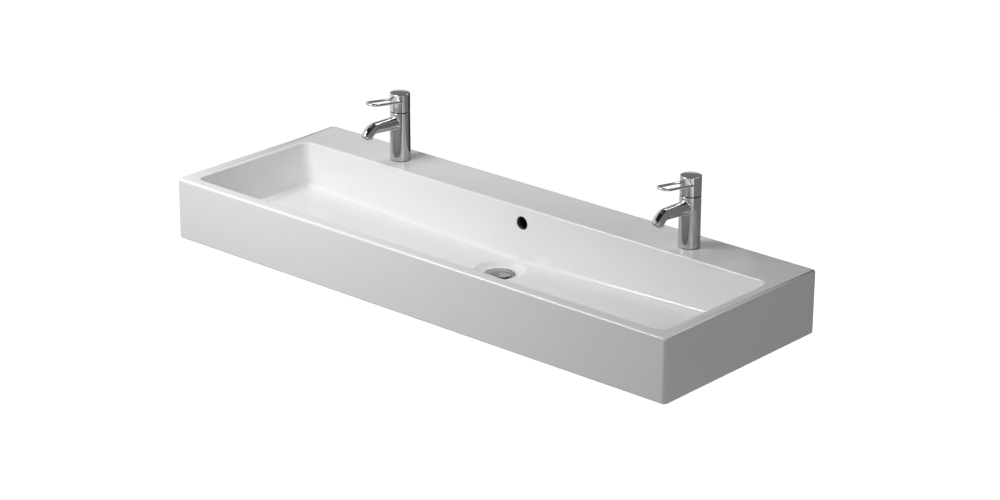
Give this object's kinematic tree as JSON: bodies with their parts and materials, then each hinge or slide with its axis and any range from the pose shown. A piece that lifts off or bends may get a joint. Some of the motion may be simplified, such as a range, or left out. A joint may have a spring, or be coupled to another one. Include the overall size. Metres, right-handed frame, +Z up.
{
  "type": "washbasin",
  "caption": "Wide wall-hung ceramic washbasin with a rectangular bowl, overflow, push-open waste and single-lever taps with loop handles on its rear deck.",
  "frame": {"origin": "midway between the two wall fixing holes, on the plane of the wall", "axes": "+Y into the wall, -Y towards the person at the basin, +X to that person's right, +Z up"},
  "size_m": [1.3, 0.47, 0.3685],
  "materials": {
    "glazed_ceramic": "glossy white glaze",
    "chrome": "polished chrome plate",
    "waste_chrome": "polished chrome plate",
    "steel": "plain stainless steel",
    "brass": "turned brass",
    "seal_rubber": "matt black rubber",
    "cartridge_plastic": "moulded plastic",
    "aerator_plastic": "moulded plastic",
    "disc_ceramic": "lapped ceramic"
  },
  "bodies": {
    "basin_and_fixed_parts": {"basin": "glazed_ceramic", "waste_body": "waste_chrome", "waste_top_seal": "seal_rubber", "waste_bottom_seal": "seal_rubber", "waste_washer": "steel", "waste_backnut": "brass", "waste_click_insert": "cartridge_plastic", "left_tap_body": "chrome", "left_base_gasket": "seal_rubber", "left_aerator_housing": "chrome", "left_aerator_insert": "aerator_plastic", "left_cartridge_housing": "cartridge_plastic", "left_cartridge_base": "cartridge_plastic", "left_fixed_disc": "disc_ceramic", "left_cartridge_nut": "brass", "left_dome_ring": "chrome", "left_fixing_stud": "brass", "left_rubber_horseshoe": "seal_rubber", "left_steel_horseshoe": "steel", "left_fixing_nut": "brass", "right_tap_body": "chrome", "right_base_gasket": "seal_rubber", "right_aerator_housing": "chrome", "right_aerator_insert": "aerator_plastic", "right_cartridge_housing": "cartridge_plastic", "right_cartridge_base": "cartridge_plastic", "right_fixed_disc": "disc_ceramic", "right_cartridge_nut": "brass", "right_dome_ring": "chrome", "right_fixing_stud": "brass", "right_rubber_horseshoe": "seal_rubber", "right_steel_horseshoe": "steel", "right_fixing_nut": "brass"},
    "plug": {"waste_plug": "waste_chrome", "waste_plug_seal": "seal_rubber"},
    "left_swivel": {"left_spindle_carrier": "cartridge_plastic", "left_spindle_pin": "steel"},
    "left_handle": {"left_spindle": "steel", "left_handle_cap": "chrome", "left_lever_loop": "chrome", "left_handle_screw": "steel", "left_screw_plug": "chrome"},
    "left_disc": {"left_moving_disc": "disc_ceramic"},
    "right_swivel": {"right_spindle_carrier": "cartridge_plastic", "right_spindle_pin": "steel"},
    "right_handle": {"right_spindle": "steel", "right_handle_cap": "chrome", "right_lever_loop": "chrome", "right_handle_screw": "steel", "right_screw_plug": "chrome"},
    "right_disc": {"right_moving_disc": "disc_ceramic"}
  },
  "joints": [
    {"name": "plug_lift", "type": "slide", "parent": "basin_and_fixed_parts", "child": "plug", "axis": [0, 0, 1], "range_m": [0, 0.009]},
    {"name": "left_swivel_turn", "type": "hinge", "parent": "basin_and_fixed_parts", "child": "left_swivel", "pos_m": [-0.388, -0.066, 0.169], "axis": [0, 0, 1], "range_deg": [-50, 50]},
    {"name": "left_lever_lift", "type": "hinge", "parent": "left_swivel", "child": "left_handle", "pos_m": [-0.388, -0.066, 0.169], "axis": [-1, 0, 0], "range_deg": [0, 25]},
    {"name": "left_disc_slide", "type": "slide", "parent": "left_swivel", "child": "left_disc", "axis": [0, -1, 0], "range_m": [0, 0.006]},
    {"name": "right_swivel_turn", "type": "hinge", "parent": "basin_and_fixed_parts", "child": "right_swivel", "pos_m": [0.388, -0.066, 0.169], "axis": [0, 0, 1], "range_deg": [-50, 50]},
    {"name": "right_lever_lift", "type": "hinge", "parent": "right_swivel", "child": "right_handle", "pos_m": [0.388, -0.066, 0.169], "axis": [-1, 0, 0], "range_deg": [0, 25]},
    {"name": "right_disc_slide", "type": "slide", "parent": "right_swivel", "child": "right_disc", "axis": [0, -1, 0], "range_m": [0, 0.006]}
  ],
  "couplings": [
    {"joint": "left_disc_slide", "follows": "left_lever_lift", "m_per_rad": 0.01356},
    {"joint": "right_disc_slide", "follows": "right_lever_lift", "m_per_rad": 0.01356}
  ]
}
